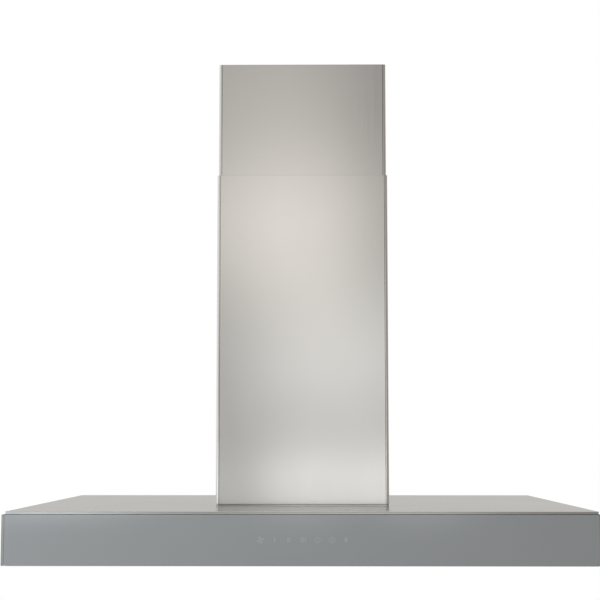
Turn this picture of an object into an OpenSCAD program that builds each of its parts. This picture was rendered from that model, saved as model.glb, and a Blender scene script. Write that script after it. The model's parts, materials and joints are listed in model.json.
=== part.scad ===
// Island range hood: a flat canopy with glass sides hangs from the ceiling on
// telescopic posts, inside a square flue in two sections.
// Origin: centre of the ceiling plate's top face, +z up. Everything hangs below z = 0.
// The touch controls are on the front, which faces -y.

/* [Canopy] */
// Width of the canopy across the glass
canopy_w = 914; // [890:2:1220]
// Depth of the canopy across the glass
canopy_d = 686; // [670:2:800]
// Height of the glass panels
glass_h = 77.5; // [70:0.5:110]
// Thickness of the glass panels
glass_t = 4; // [3:0.5:6]
// Radius of the glass panels' corners
glass_r = 3; // [1:0.5:6]
// Gap where two glass panels meet
glass_joint = 0.4; // [0.2:0.1:1]
// Thickness of the tape that bonds the glass
tape_t = 1; // [0.5:0.1:2]
// Width of the bonding tape
tape_w = 12; // [8:1:20]
// Shadow gap between the glass and the deck
shadow_gap = 3; // [1:0.5:8]
// Thickness of the steel deck
deck_t = 1.5; // [1:0.1:3]
// How far the deck's edge stands back from the glass face
deck_inset = 4; // [1:0.5:5]
// Thickness of the folded sheet of the skirt and bottom panel
sheet_t = 1.2; // [0.8:0.1:1.6]
// Height of the skirt's bottom flange above the glass's lower edge
rim_recess = 2; // [1:0.5:4]
// Width of the skirt's bottom flange
rim_flange = 12; // [10:1:20]

/* [Flue] */
// Outer width of the square lower flue
flue_w = 290; // [286:1:330]
// Height of the lower flue
lower_flue_h = 557; // [500:1:700]
// Height of the upper flue that shows above the lower one
upper_show = 194; // [190:2:300]
// Height of the upper flue that is nested in the lower one
upper_nested = 160; // [150:2:240]
// Thickness of the flue's sheet
flue_t = 1; // [0.8:0.1:1.2]
// Outer radius of the side channels' bends
bend_r = 4; // [2:0.5:4]
// Width of the side channels' strip on the front and rear
corner_strip = 5; // [5:0.5:12]
// Width of the seam between a strip and its panel
seam = 0.6; // [0.3:0.1:1]
// Thickness of the panels' joggled edge behind the strip
lap_t = 0.5; // [0.3:0.1:0.8]
// Width of the joggled edge behind the panel itself
lap_w = 4; // [3:0.5:8]
// Clearance between the two flue sections
slide_clear = 0.4; // [0.3:0.1:1]
// Height of the collar that the lower flue stands on
collar_h = 3; // [2:0.5:12]
// Height of the tabs that keep the flue on its collar
collar_tab_h = 20; // [12:1:40]
// How far the tabs' ends stay from the flue's corners
collar_tab_inset = 25; // [15:1:40]

/* [Support] */
// Length of one leg of the angle posts
post_leg = 25; // [20:1:28]
// Thickness of the angle posts
post_t = 2; // [1.5:0.5:3]
// Room for the bolt heads between the posts and the upper flue
post_inset = 8; // [7:0.5:12]
// Height of the lower posts above the deck
lower_post_h = 430; // [400:5:460]
// Length of the upper posts below the ceiling
upper_post_h = 500; // [470:5:540]
// Distance of the higher clamp bolts below the lower posts' tops
bolt_edge = 12; // [10:1:15]
// Height between the two levels of clamp bolts
bolt_step = 16; // [15:1:18]
// Distance of the upper brace below the lower posts' tops
brace_drop = 45; // [42:1:60]
// Height of the braces round the lower posts
brace_h = 20; // [12:1:30]
// Thickness of the braces
brace_t = 1.5; // [1:0.5:2.5]
// Radius of the clamp bolts' shanks
bolt_r = 3; // [2:0.5:4]
// Thickness of the ceiling plate
plate_t = 3; // [2:0.5:5]
// Depth of the ceiling plate's folded sides
plate_flange = 30; // [20:1:50]
// Radius of the duct opening in the ceiling plate
plate_hole_r = 92; // [86:1:96]
// Distance between the ceiling screws
screw_spacing = 190; // [180:2:200]
// Radius of the holes for the ceiling screws
screw_hole_r = 4.5; // [3:0.5:5]
// How far the canopy can be raised from here
raise_max = 180; // [100:5:185]
// How far the canopy can be lowered from here
drop_max = 100; // [50:5:100]

/* [Filters] */
// Width of one grease filter
filter_w = 244; // [220:2:260]
// Depth of the grease filters
filter_d = 466; // [420:2:480]
// Thickness of the grease filters
filter_h = 18; // [17:0.5:24]
// Sheet thickness of the filter frames
filter_t = 1; // [0.8:0.1:1.2]
// Clearance round the filters
filter_gap = 1.5; // [1:0.1:2.5]
// Clearance behind the filters, where their lower edge swings
filter_rear_gap = 2.5; // [2.2:0.1:4]
// Width of the filter frames' flanges
filter_lip = 10; // [6:0.5:14]
// Width of the frames' front apron, which carries the latch
apron = 38; // [37:1:50]
// Width of the rails between the filters
rail_w = 10; // [9:0.5:20]
// Height of the bays' upturned edges
bay_h = 12; // [11:0.5:12.5]
// Radius of the filters' hinge pins
pin_r = 2; // [1.5:0.1:2.2]
// Height of the hinge pins above the filter's lower face, and their distance from its rear
pin_inset = 4; // [4:0.1:5]
// Radial clearance of pins and shafts in their holes
pin_clear = 0.08; // [0.05:0.01:0.1]
// Pitch of the baffles
baffle_pitch = 30; // [28:1:36]
// Width of the lower baffles
baffle_w = 22; // [20:1:24]
// Width of the upper baffles
baffle_top_w = 20; // [18:1:22]
// Height of the lower baffles
baffle_h = 10; // [8:0.5:11]
// Sheet thickness of the baffles
baffle_t = 0.8; // [0.6:0.1:1]

/* [Latches] */
// Half the width of the latch plate
latch_half_w = 20; // [16:1:26]
// Thickness of the latch plate
latch_t = 1.5; // [1:0.1:2]
// How far the tongue reaches past the bay's edge
latch_hold = 3; // [2:0.5:4]
// Travel of the latch
latch_travel = 7; // [6:0.5:7]
// Clearance round the latch plate
latch_clear = 0.3; // [0.2:0.1:0.5]

/* [Lamps and controls] */
// Radius of the lamp bezels
bezel_r = 27; // [25:1:36]
// Radius of the lamp lenses
lens_r = 22; // [18:1:23]
// Distance of the lamps from the middle, left and right
lamp_x = 300; // [200:5:340]
// Length of the touch control board
board_w = 176; // [150:2:220]
// Height of the touch control board
board_h = 30; // [24:1:40]
// Thickness of the touch control board
board_t = 1.6; // [1:0.1:2]
// Width, length and height of the lamp driver box
driver_size = [50, 160, 34];

/* [Blower] */
// Height of the blower box above the deck
box_h = 270; // [260:2:290]
// Sheet thickness of the blower box
box_t = 1; // [0.8:0.1:1.5]
// Clearance between the blower box and the posts
box_clear = 4; // [3:0.5:6]
// Width of the blower box's foot flange
box_foot = 7; // [5:0.5:10]
// Outer radius of the fan wheel
wheel_r = 72; // [66:1:73]
// Length of the fan wheel
wheel_len = 100; // [80:1:104]
// Radial depth of the blades
blade_depth = 12; // [9:0.5:13]
// Number of blades
blades = 36; // [24:1:40]
// Thickness of the blades
blade_t = 0.8; // [0.6:0.1:1]
// Radius of the scroll where it starts, at the cut-off
scroll_start = 78; // [77:0.5:79]
// Radius of the scroll where it ends, at the outlet
scroll_end = 104; // [100:0.5:105]
// Width of the scroll's outlet
outlet_w = 122; // [118:1:126]
// Width of the scroll along the fan's axis
scroll_w = 110; // [108:1:116]
// Height of the outlet above the fan's axis
neck_h = 125; // [120:1:130]
// Radius of the inlets
inlet_r = 62; // [58:1:62]
// Radius of the inlets' rolled edge
bell_r = 5; // [3:0.5:6]
// Radius of the motor
motor_r = 40; // [34:1:42]
// Length of the motor
motor_len = 74; // [60:1:76]
// Radius of the motor's shaft
shaft_r = 4; // [3:0.5:5]

/* [Duct collar] */
// Outer radius of the duct collar
duct_r = 75; // [72:0.5:77]
// Thickness of the duct collar
duct_t = 1; // [0.8:0.1:1.5]
// Height of the duct collar
duct_h = 62; // [56:1:80]
// Height of the damper's spindle above the collar's foot
spindle_z = 20; // [14:1:22]
// Radius of the damper's spindle
spindle_r = 2; // [1.5:0.1:2.5]
// Thickness of the damper flaps
flap_t = 0.8; // [0.6:0.1:1]
// Width, length and height of the junction box
junction_size = [42, 96, 34];
// Radius of the junction box's cable entry
cable_r = 11; // [8:0.5:14]
// Radius and height of the motor's run capacitor
capacitor_size = [15, 52];

/* [Hidden] */
$fn = 64;

// Levels, from the ceiling down
canopy_h = glass_h + shadow_gap + deck_t;
overall_h = canopy_h + collar_h + lower_flue_h + upper_show;
rim_z = -overall_h;
deck_z = rim_z + canopy_h;
skirt_top_z = deck_z - deck_t;
panel_z = rim_z + rim_recess + sheet_t;
flue_foot_z = deck_z + collar_h;
flue_step_z = flue_foot_z + lower_flue_h;

// Skirt, behind the glass and its tape
skirt_hx = canopy_w / 2 - glass_t - tape_t;
skirt_hy = canopy_d / 2 - glass_t - tape_t;
front_glass_w = canopy_w - 2 * (glass_t + glass_joint);

// Flue sections
lower_half = flue_w / 2;
upper_half = lower_half - flue_t - lap_t - slide_clear;
upper_inner = upper_half - flue_t;
lap_reach = corner_strip - bend_r - 0.2;

// Posts, inside the upper flue
post_out = upper_inner - post_inset;
post_in = post_out - post_leg;
nest_gap = 0.3;
upper_post_out = post_out - post_t - nest_gap;
post_top_z = deck_z + lower_post_h;
bolt_z = [post_top_z - bolt_edge, post_top_z - bolt_edge - bolt_step];
bolt_across = (post_in + upper_post_out) / 2;
bolt_gap = 0.3;
slot_r = bolt_r + 0.6;

// Ceiling plate, notched at the corners for the flue's joggled edges
plate_half = upper_inner - 0.3;
plate_notch = plate_half - 13;

// Filter bays
bay_w = filter_w + 2 * filter_gap;
bay_hy = (filter_d + filter_gap + filter_rear_gap) / 2;
bay_pitch = bay_w + rail_w;
filter_y = [-bay_hy + filter_gap, bay_hy - filter_rear_gap];
filter_z = [panel_z, panel_z + filter_h];
pin_y = filter_y[1] - pin_inset;
pin_z = panel_z + pin_inset;
pin_reach = filter_gap + sheet_t + 0.8;

// Latch
latch_z = panel_z + bay_h + latch_clear;
latch_tip = filter_gap + sheet_t + latch_hold;
tongue_half_w = latch_half_w - 5;
pull_half_w = latch_half_w - 4;
pull_y = filter_y[0] + 10;
pull_t = 1.5;
latch_len = 24;
cassette_y = [filter_y[0] + apron - 6, filter_y[1] - filter_t];

// Baffles
baffle_room = filter_w - 2 * filter_t;
baffle_count = floor((baffle_room - baffle_w) / baffle_pitch) + 1;
baffle_end_t = 1;

// Lamps
lamp_y = (skirt_hy - rim_flange + bay_hy + sheet_t) / 2;
bezel_t = rim_recess < sheet_t ? rim_recess : sheet_t;
sleeve_t = 1.5;
sleeve_r = lens_r + sleeve_t;
sleeve_h = 10;
lens_t = 3;
lens_ledge = 2;

// Blower box
box_hx = post_out;
box_hy = post_in - box_clear;
box_z = [deck_z, deck_z + box_h];

// Scroll: the fan's axis lies so that the outlet is centred on the duct
fan_x = outlet_w / 2 - scroll_end;
fan_z = box_z[1] - box_t - neck_h;
scroll_t = 1;
scroll_steps = 24;
cut_x = -outlet_w / 2 - fan_x;
hub_y = 14;
hub_t = 2;
boss_r = 10;
ring_t = 2.5;
rim_over = 0.8;
hub_gap = 0.1;
boss_len = 14;
motor_gap = 5;
shaft_end = 4;
motor_y = [hub_y + hub_t + motor_gap, hub_y + hub_t + motor_gap + motor_len];
bracket_y = scroll_w / 2 + bell_r + 0.3;
bracket_t = 3;

// Duct collar and damper
collar_z = box_z[1];
collar_flange_t = 1.5;
duct_in = duct_r - duct_t;
damper_z = collar_z + spindle_z;
flap_r = duct_in - 1.5;
ledge_r = duct_in - 4;
knuckle_r = spindle_r + 1.2;
knuckle_len = 16;
flap_start = knuckle_r + 0.4;
flap_drop = 0.3;
junction_x = [box_hx - 2 - junction_size[0], box_hx - 2];
lid_t = 1.2;

// A block given by its limits along each axis
module slab(x, y, z) {
  translate([x[0], y[0], z[0]])
    cube([x[1] - x[0], y[1] - y[0], z[1] - z[0]]);
}

// A block centred on the z axis
module centred_slab(half_x, half_y, z) {
  slab([-half_x, half_x], [-half_y, half_y], z);
}

// A copy in each of the four quadrants
module each_corner() {
  for (sx = [0, 1], sy = [0, 1])
    mirror([sx, 0, 0]) mirror([0, sy, 0]) children();
}

// A flat rectangle with round corners, centred
module rounded_rect(w, h, r) {
  square([w - 2 * r, h], center = true);
  square([w, h - 2 * r], center = true);
  for (sx = [-1, 1], sy = [-1, 1])
    translate([sx * (w / 2 - r), sy * (h / 2 - r)]) circle(r);
}

// A flat shape drawn in x and z, extruded along y from y0 to y1
module extrude_y(y0, y1) {
  translate([0, y1, 0]) rotate([90, 0, 0]) linear_extrude(y1 - y0) children();
}

// ---- Ceiling plate and posts ----

module ceiling_plate() {
  color("silver") difference() {
    union() {
      centred_slab(plate_half, plate_notch, [-plate_t, 0]);
      centred_slab(plate_notch, plate_half, [-plate_t, 0]);
      for (turn = [0:90:270])
        rotate([0, 0, turn]) slab(
          [-plate_notch, plate_notch], [-plate_half, -plate_half + post_t], [-plate_flange, 0]);
    }
    translate([0, 0, -plate_t - 1]) cylinder(h = plate_t + 2, r = plate_hole_r, $fn = 96);
    each_corner() translate([screw_spacing / 2, screw_spacing / 2, -plate_t - 1])
      cylinder(h = plate_t + 2, r = screw_hole_r);
  }
}

// Angle post in the first quadrant, with a square foot at one end
module angle_post(out, z, foot_z) {
  slab([post_in, out], [out - post_t, out], z);
  slab([out - post_t, out], [post_in, out], z);
  slab([post_in, out], [post_in, out], foot_z);
}

// Slot for a clamp bolt, through the leg that faces +y
module adjust_slot(z) {
  low = z - drop_max - bolt_gap;
  high = z + raise_max + bolt_gap;
  for (end = [low, high])
    translate([bolt_across, post_out + 1, end]) rotate([90, 0, 0]) cylinder(h = post_leg, r = slot_r);
  slab(
    [bolt_across - slot_r, bolt_across + slot_r], [post_out + 1 - post_leg, post_out + 1], [low, high]);
}

module upper_posts() {
  color("silver") each_corner() difference() {
    angle_post(upper_post_out, [-upper_post_h, -plate_t], [-plate_t - post_t, -plate_t]);
    adjust_slot(bolt_z[0]);
    mirror([1, -1, 0]) adjust_slot(bolt_z[1]);
  }
}

// Hole for a clamp bolt, through the leg that faces +y
module bolt_hole(z) {
  translate([bolt_across, post_out + 1, z]) rotate([90, 0, 0])
    cylinder(h = post_t + 2, r = bolt_r + 0.2);
}

module lower_posts() {
  color("silver") each_corner() difference() {
    angle_post(post_out, [deck_z, post_top_z], [deck_z, deck_z + post_t]);
    bolt_hole(bolt_z[0]);
    mirror([1, -1, 0]) bolt_hole(bolt_z[1]);
  }
}

module post_braces() {
  color("silver") for (z = [deck_z + lower_post_h / 3, post_top_z - brace_drop - brace_h])
    difference() {
      centred_slab(post_out + brace_t, post_out + brace_t, [z, z + brace_h]);
      centred_slab(post_out, post_out, [z - 1, z + brace_h + 1]);
    }
}

// Clamp bolt along y: head outside the lower post, nut inside the upper post
module clamp_bolt(z) {
  head_h = 4;
  nut_y = upper_post_out - post_t - bolt_gap;
  nut_h = 5;
  translate([bolt_across, post_out + head_h, z]) rotate([90, 0, 0]) {
    cylinder(h = head_h, r = bolt_r * 1.9, $fn = 6);
    cylinder(h = post_out + head_h - nut_y + nut_h + 1, r = bolt_r);
  }
  translate([bolt_across, nut_y, z]) rotate([90, 0, 0]) cylinder(h = nut_h, r = bolt_r * 1.9, $fn = 6);
}

module clamp_bolts() {
  color("gray") each_corner() {
    clamp_bolt(bolt_z[0]);
    mirror([1, -1, 0]) clamp_bolt(bolt_z[1]);
  }
}

// ---- Flue sections ----

// Front panel of a flue section; its joggled edges lie behind the channels' strips
module flue_panel(half, z) {
  edge = half - corner_strip;
  slab([-edge + seam, edge - seam], [-half, -half + flue_t], z);
  for (side = [0, 1])
    mirror([side, 0, 0])
      slab([edge - lap_w, edge + lap_reach], [-half + flue_t, -half + flue_t + lap_t], z);
}

// Left channel of a flue section: the side wall and its two folded strips
module flue_channel(half, z) {
  inner = half - flue_t;
  translate([0, 0, z[0]]) linear_extrude(z[1] - z[0]) intersection() {
    difference() {
      rounded_rect(2 * half, 2 * half, bend_r);
      rounded_rect(2 * inner, 2 * inner, bend_r - flue_t);
    }
    translate([-half, -half]) square([corner_strip, 2 * half]);
  }
}

lower_z = [flue_foot_z, flue_step_z];
upper_z = [flue_step_z - upper_nested, 0];

module upper_flue_front() { color("lightgray") flue_panel(upper_half, upper_z); }
module upper_flue_rear() { color("lightgray") rotate([0, 0, 180]) flue_panel(upper_half, upper_z); }
module upper_flue_left() { color("lightgray") flue_channel(upper_half, upper_z); }
module upper_flue_right() { color("lightgray") mirror([1, 0, 0]) flue_channel(upper_half, upper_z); }
module lower_flue_front() { color("lightgray") flue_panel(lower_half, lower_z); }
module lower_flue_rear() { color("lightgray") rotate([0, 0, 180]) flue_panel(lower_half, lower_z); }
module lower_flue_left() { color("lightgray") flue_channel(lower_half, lower_z); }
module lower_flue_right() { color("lightgray") mirror([1, 0, 0]) flue_channel(lower_half, lower_z); }

// Collar on the deck, with a tab inside each wall of the lower flue
module flue_collar() {
  rim_back = 0.7;
  rim_half = lower_half - rim_back;
  tab_out = lower_half - flue_t - lap_t - 0.3;
  tab_half_w = lower_half - collar_tab_inset;
  tab_t = 1.5;
  inner = post_out + brace_t + 0.9;
  color("silver") {
    difference() {
      translate([0, 0, deck_z]) linear_extrude(collar_h)
        rounded_rect(2 * rim_half, 2 * rim_half, bend_r - rim_back);
      centred_slab(inner, inner, [deck_z - 1, flue_foot_z + 1]);
    }
    for (turn = [0:90:270])
      rotate([0, 0, turn]) slab(
        [-tab_half_w, tab_half_w], [-tab_out, -tab_out + tab_t], [deck_z, flue_foot_z + collar_tab_h]);
  }
}

// ---- Canopy ----

module canopy_deck() {
  inner_x = skirt_hx - sheet_t;
  inner_y = skirt_hy - sheet_t;
  color("silver") {
    difference() {
      translate([0, 0, skirt_top_z]) linear_extrude(deck_t)
        rounded_rect(canopy_w - 2 * deck_inset, canopy_d - 2 * deck_inset, 2);
      centred_slab(box_hx - box_foot, box_hy - box_foot, [skirt_top_z - 1, deck_z + 1]);
    }
    difference() {
      centred_slab(inner_x, inner_y, [skirt_top_z - 10, skirt_top_z]);
      centred_slab(inner_x - sheet_t, inner_y - sheet_t, [skirt_top_z - 11, skirt_top_z + 1]);
    }
  }
}

module canopy_skirt() {
  low = rim_z + rim_recess;
  color("gainsboro") difference() {
    centred_slab(skirt_hx, skirt_hy, [low, skirt_top_z]);
    centred_slab(skirt_hx - sheet_t, skirt_hy - sheet_t, [low + sheet_t, skirt_top_z + 1]);
    centred_slab(skirt_hx - rim_flange, skirt_hy - rim_flange, [low - 1, low + sheet_t + 1]);
    board_window(2);
  }
}

// Window in the front of the skirt, round the control board
module board_window(clear) {
  half_w = board_w / 2 + clear;
  half_h = board_h / 2 + clear;
  mid = rim_z + glass_h / 2;
  slab([-half_w, half_w], [-canopy_d / 2, -skirt_hy + sheet_t + 1], [mid - half_h, mid + half_h]);
}

module control_board() {
  back = -canopy_d / 2 + glass_t;
  mid = rim_z + glass_h / 2;
  color("darkgreen")
    slab([-board_w / 2, board_w / 2], [back, back + board_t], [mid - board_h / 2, mid + board_h / 2]);
}

// Upright glass panel of the front, centred on x
module glass_panel(w, y) {
  color("lightslategray") translate([0, 0, rim_z + glass_h / 2])
    extrude_y(y, y + glass_t) rounded_rect(w, glass_h, glass_r);
}

module glass_front() { glass_panel(front_glass_w, -canopy_d / 2); }
module glass_rear() { rotate([0, 0, 180]) glass_panel(front_glass_w, -canopy_d / 2); }
module glass_left() { rotate([0, 0, -90]) glass_panel(canopy_d, -canopy_w / 2); }
module glass_right() { rotate([0, 0, 90]) glass_panel(canopy_d, -canopy_w / 2); }

// Two bonding strips on each side of the skirt
module tape_pair(half_len, y) {
  for (z = [rim_z + rim_recess + 2, rim_z + glass_h - 2 - tape_w])
    slab([-half_len, half_len], [-y - tape_t, -y], [z, z + tape_w]);
}

module glass_tape() {
  color("dimgray") for (turn = [0, 180]) {
    rotate([0, 0, turn]) tape_pair(skirt_hx - 10, skirt_hy);
    rotate([0, 0, turn + 90]) tape_pair(skirt_hy - 10, skirt_hx);
  }
}

// Hollow of filter bay n, which is -1, 0 or 1
module bay(n, grow, z) {
  mid = n * bay_pitch;
  slab([mid - bay_w / 2 - grow, mid + bay_w / 2 + grow], [-bay_hy - grow, bay_hy + grow], z);
}

module bottom_panel() {
  edge = sheet_t + 0.5;
  color("gainsboro") difference() {
    union() {
      centred_slab(skirt_hx - edge, skirt_hy - edge, [panel_z, panel_z + sheet_t]);
      for (n = [-1:1]) bay(n, sheet_t, [panel_z, panel_z + bay_h]);
    }
    for (n = [-1:1]) bay(n, 0, [panel_z - 1, panel_z + bay_h + 1]);
    each_corner() translate([lamp_x, lamp_y, panel_z - 1])
      cylinder(h = sheet_t + 2, r = sleeve_r + 0.2);
    for (n = [-1:1], side = [-1, 1])
      translate([n * bay_pitch + side * (bay_w / 2 + sheet_t / 2), pin_y, pin_z]) rotate([0, 90, 0])
        cylinder(h = sheet_t + 1, r = pin_r + pin_clear, center = true, $fn = 32);
  }
}

// ---- Lamps and electrics ----

// Turned bezel: a flat ring with a rounded rim, a ledge for the lens and a sleeve up through the panel
module lamp_bezels() {
  flat_r = bezel_r - bezel_t;
  color("silver") each_corner() translate([lamp_x, lamp_y, panel_z]) rotate_extrude() {
    translate([lens_r - lens_ledge, -bezel_t]) square([flat_r - lens_r + lens_ledge, bezel_t]);
    intersection() {
      translate([flat_r, 0]) circle(bezel_t);
      translate([flat_r, -bezel_t]) square(bezel_t);
    }
    translate([lens_r, 0]) square([sleeve_r - lens_r, sleeve_h]);
  }
}

module lamp_lenses() {
  color("white") each_corner() translate([lamp_x, lamp_y, panel_z])
    cylinder(h = lens_t, r = lens_r - 0.2);
}

module lamp_bodies() {
  core_r = lens_r * 0.6;
  fin_t = 2;
  fin_pitch = 5;
  color("dimgray") each_corner() translate([lamp_x, lamp_y, panel_z]) {
    translate([0, 0, lens_t]) cylinder(h = sleeve_h - lens_t, r = lens_r - 0.2);
    translate([0, 0, sleeve_h]) cylinder(h = 4 * fin_pitch, r = core_r);
    for (n = [0:3])
      translate([0, 0, sleeve_h + fin_pitch * (n + 1) - fin_t]) cylinder(h = fin_t, r = lens_r + 2);
  }
}

module driver_box() {
  x = skirt_hx - 2 * sheet_t - driver_size[0];
  color("gray") slab(
    [-x - driver_size[0], -x], [-driver_size[1] / 2, driver_size[1] / 2],
    [skirt_top_z - driver_size[2], skirt_top_z]);
}

// ---- Blower ----

module blower_box() {
  color("silver") difference() {
    centred_slab(box_hx, box_hy, box_z);
    centred_slab(box_hx - box_t, box_hy - box_t, [box_z[0] + box_t, box_z[1] - box_t]);
    centred_slab(box_hx - box_foot, box_hy - box_foot, [box_z[0] - 1, box_z[0] + box_t + 1]);
    translate([0, 0, box_z[1] - box_t - 1]) cylinder(h = box_t + 2, r = ledge_r);
  }
}

// Scroll line at a distance out from the air side, from the outlet's left wall round to its right
function scroll_line(out) =
  let (start = acos((cut_x - out) / (scroll_start + out)))
  concat(
    [[-outlet_w / 2 - out, neck_h]],
    [for (n = [0:scroll_steps])
      let (
        part = n / scroll_steps,
        angle = start + (360 - start) * part,
        r = scroll_start + (scroll_end - scroll_start) * part + out
      ) [fan_x + r * cos(angle), r * sin(angle)]],
    [[outlet_w / 2 + out, neck_h]]);

function reversed(points) = [for (n = [len(points) - 1:-1:0]) points[n]];

module scroll_band() {
  half = scroll_w / 2 - scroll_t;
  color("gainsboro") translate([0, 0, fan_z])
    extrude_y(-half, half) polygon(concat(scroll_line(0), reversed(scroll_line(scroll_t))));
}

// Flat cheek of the scroll with an inlet and its rolled edge, on the front side
module scroll_cheek() {
  half = scroll_w / 2;
  translate([0, 0, fan_z]) {
    difference() {
      extrude_y(-half, -half + scroll_t) polygon(scroll_line(scroll_t));
      translate([fan_x, -half - 1, 0]) rotate([-90, 0, 0]) cylinder(h = scroll_t + 2, r = inlet_r);
    }
    translate([fan_x, -half, 0]) rotate([90, 0, 0]) rotate_extrude() intersection() {
      translate([inlet_r + bell_r, 0]) difference() {
        circle(bell_r);
        circle(bell_r - scroll_t);
      }
      translate([inlet_r - 1, -0.5]) square([bell_r + 1, bell_r + 1]);
    }
  }
}

module scroll_cheek_front() { color("gainsboro") scroll_cheek(); }
module scroll_cheek_rear() { color("gainsboro") mirror([0, 1, 0]) scroll_cheek(); }

// Turned parts of the fan lie along y, and start at y
module on_fan_axis(y) {
  translate([fan_x, y, fan_z]) rotate([-90, 0, 0]) children();
}

// Section of one forward-curved blade, at its place on the wheel
module blade_section() {
  arc_r = blade_depth * 0.7;
  half_angle = asin(blade_depth / 2 / arc_r);
  intersection() {
    translate([wheel_r - blade_depth / 2, -arc_r * cos(half_angle)]) difference() {
      circle(arc_r + blade_t / 2);
      circle(arc_r - blade_t / 2);
    }
    translate([wheel_r - blade_depth, -2 * blade_t]) square([blade_depth, arc_r]);
  }
}

// Blades of the wheel, held between its two rings
module fan_blades() {
  color("darkgray") on_fan_axis(-wheel_len / 2 + ring_t)
    for (n = [0:blades - 1])
      rotate([0, 0, n * 360 / blades]) linear_extrude(wheel_len - 2 * ring_t) blade_section();
}

// Frame of the wheel: a ring over the blades' ends on each side, and the hub plate with its boss
module fan_wheel() {
  rim_r = wheel_r + rim_over;
  ring_in = wheel_r - blade_depth - rim_over;
  color("darkgray") {
    for (y = [-wheel_len / 2, wheel_len / 2 - ring_t])
      on_fan_axis(y) difference() {
        cylinder(h = ring_t, r = rim_r, $fn = 96);
        translate([0, 0, -1]) cylinder(h = ring_t + 2, r = ring_in, $fn = 96);
      }
    difference() {
      union() {
        on_fan_axis(hub_y) cylinder(h = hub_t, r = wheel_r - blade_depth - hub_gap, $fn = 96);
        on_fan_axis(hub_y - boss_len) cylinder(h = boss_len + hub_t, r = boss_r);
      }
      on_fan_axis(hub_y - boss_len - 1) cylinder(h = boss_len + hub_t + 2, r = shaft_r + pin_clear);
    }
  }
}

module motor_shaft() {
  first = hub_y - boss_len - shaft_end;
  color("gray") on_fan_axis(first) cylinder(h = motor_y[1] + shaft_end - first, r = shaft_r);
}

// Motor: a can with rounded shoulders and a bore for its shaft
module motor_body() {
  shoulder = motor_r / 5;
  color("dimgray") on_fan_axis(motor_y[0]) rotate_extrude() difference() {
    union() {
      translate([0, 0]) square([motor_r - shoulder, motor_len]);
      translate([0, shoulder]) square([motor_r, motor_len - 2 * shoulder]);
      for (z = [shoulder, motor_len - shoulder])
        translate([motor_r - shoulder, z]) circle(shoulder);
    }
    translate([-1, -1]) square([shaft_r + pin_clear + 1, motor_len + 2]);
  }
}

// Spider that holds the motor in the rear inlet
module motor_bracket() {
  arm_w = 12;
  foot_r = [inlet_r + bell_r + 1, inlet_r + bell_r + 11];
  color("silver") on_fan_axis(bracket_y) {
    difference() {
      cylinder(h = 2 * bracket_t, r = motor_r + 3);
      translate([0, 0, -1]) cylinder(h = 2 * bracket_t + 2, r = motor_r + 0.1);
    }
    for (turn = [90, 210, 330])
      rotate([0, 0, turn]) {
        slab([motor_r + 2, foot_r[1]], [-arm_w / 2, arm_w / 2], [0, bracket_t]);
        slab(foot_r, [-arm_w / 2, arm_w / 2], [scroll_w / 2 - bracket_y, bracket_t]);
      }
  }
}

module capacitor() {
  color("silver") translate([-junction_x[0] - junction_size[0] / 2, 0, collar_z])
    cylinder(h = capacitor_size[1], r = capacitor_size[0]);
}

// ---- Duct collar, damper and junction box ----

module duct_collar() {
  color("silver") translate([0, 0, collar_z]) difference() {
    union() {
      cylinder(h = duct_h, r = duct_r, $fn = 96);
      cylinder(h = collar_flange_t, r = duct_r + 9, $fn = 96);
    }
    translate([0, 0, -1]) cylinder(h = spindle_z - flap_drop + 1, r = ledge_r, $fn = 96);
    translate([0, 0, collar_flange_t]) cylinder(
      h = spindle_z - flap_drop - flap_t / 2 - 1.2 - collar_flange_t, r = duct_in, $fn = 96);
    translate([0, 0, spindle_z - flap_drop - flap_t / 2]) cylinder(h = duct_h, r = duct_in, $fn = 96);
    translate([0, 0, spindle_z]) rotate([90, 0, 0])
      cylinder(h = 3 * duct_r, r = spindle_r + 0.02, center = true);
  }
}

module damper_spindle() {
  color("gray") translate([0, 0, damper_z]) rotate([90, 0, 0])
    cylinder(h = 2 * duct_r - 1, r = spindle_r, center = true);
}

// Right-hand flap: a half disc whose knuckles, from the listed places, run on the spindle
module damper_flap(knuckles) {
  translate([0, 0, damper_z]) difference() {
    union() {
      translate([0, 0, -flap_t / 2]) intersection() {
        cylinder(h = flap_t, r = flap_r, $fn = 96);
        slab([flap_start, flap_r + 1], [-flap_r, flap_r], [0, flap_t]);
      }
      for (y = knuckles) {
        translate([0, y + knuckle_len, 0]) rotate([90, 0, 0]) cylinder(h = knuckle_len, r = knuckle_r);
        slab([0, flap_start + 1], [y, y + knuckle_len], [-flap_t / 2, flap_t / 2]);
      }
    }
    rotate([90, 0, 0]) cylinder(h = 3 * duct_r, r = spindle_r + pin_clear, center = true);
  }
}

knuckle_step = knuckle_len + 0.6;

module damper_flap_right() {
  color("dimgray") damper_flap([-2.5 * knuckle_step, 0.5 * knuckle_step]);
}

module damper_flap_left() {
  color("dimgray") mirror([1, 0, 0]) damper_flap([-1.5 * knuckle_step, 1.5 * knuckle_step]);
}

module junction_box() {
  half_y = junction_size[1] / 2;
  wall = 1.2;
  color("silver") difference() {
    slab(junction_x, [-half_y, half_y], [collar_z, collar_z + junction_size[2]]);
    slab([junction_x[0] + wall, junction_x[1] - wall], [-half_y + wall, half_y - wall],
      [collar_z + wall, collar_z + junction_size[2] + 1]);
  }
}

module junction_lid() {
  half_y = junction_size[1] / 2;
  top = collar_z + junction_size[2];
  color("silver") difference() {
    slab(junction_x, [-half_y, half_y], [top, top + lid_t]);
    translate([(junction_x[0] + junction_x[1]) / 2, half_y / 2, top - 1])
      cylinder(h = lid_t + 2, r = cable_r);
  }
}

// ---- Grease filters ----

// Filter n of the row, which is -1, 0 or 1
module at_bay(n) {
  translate([n * bay_pitch, 0, 0]) children();
}

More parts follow.
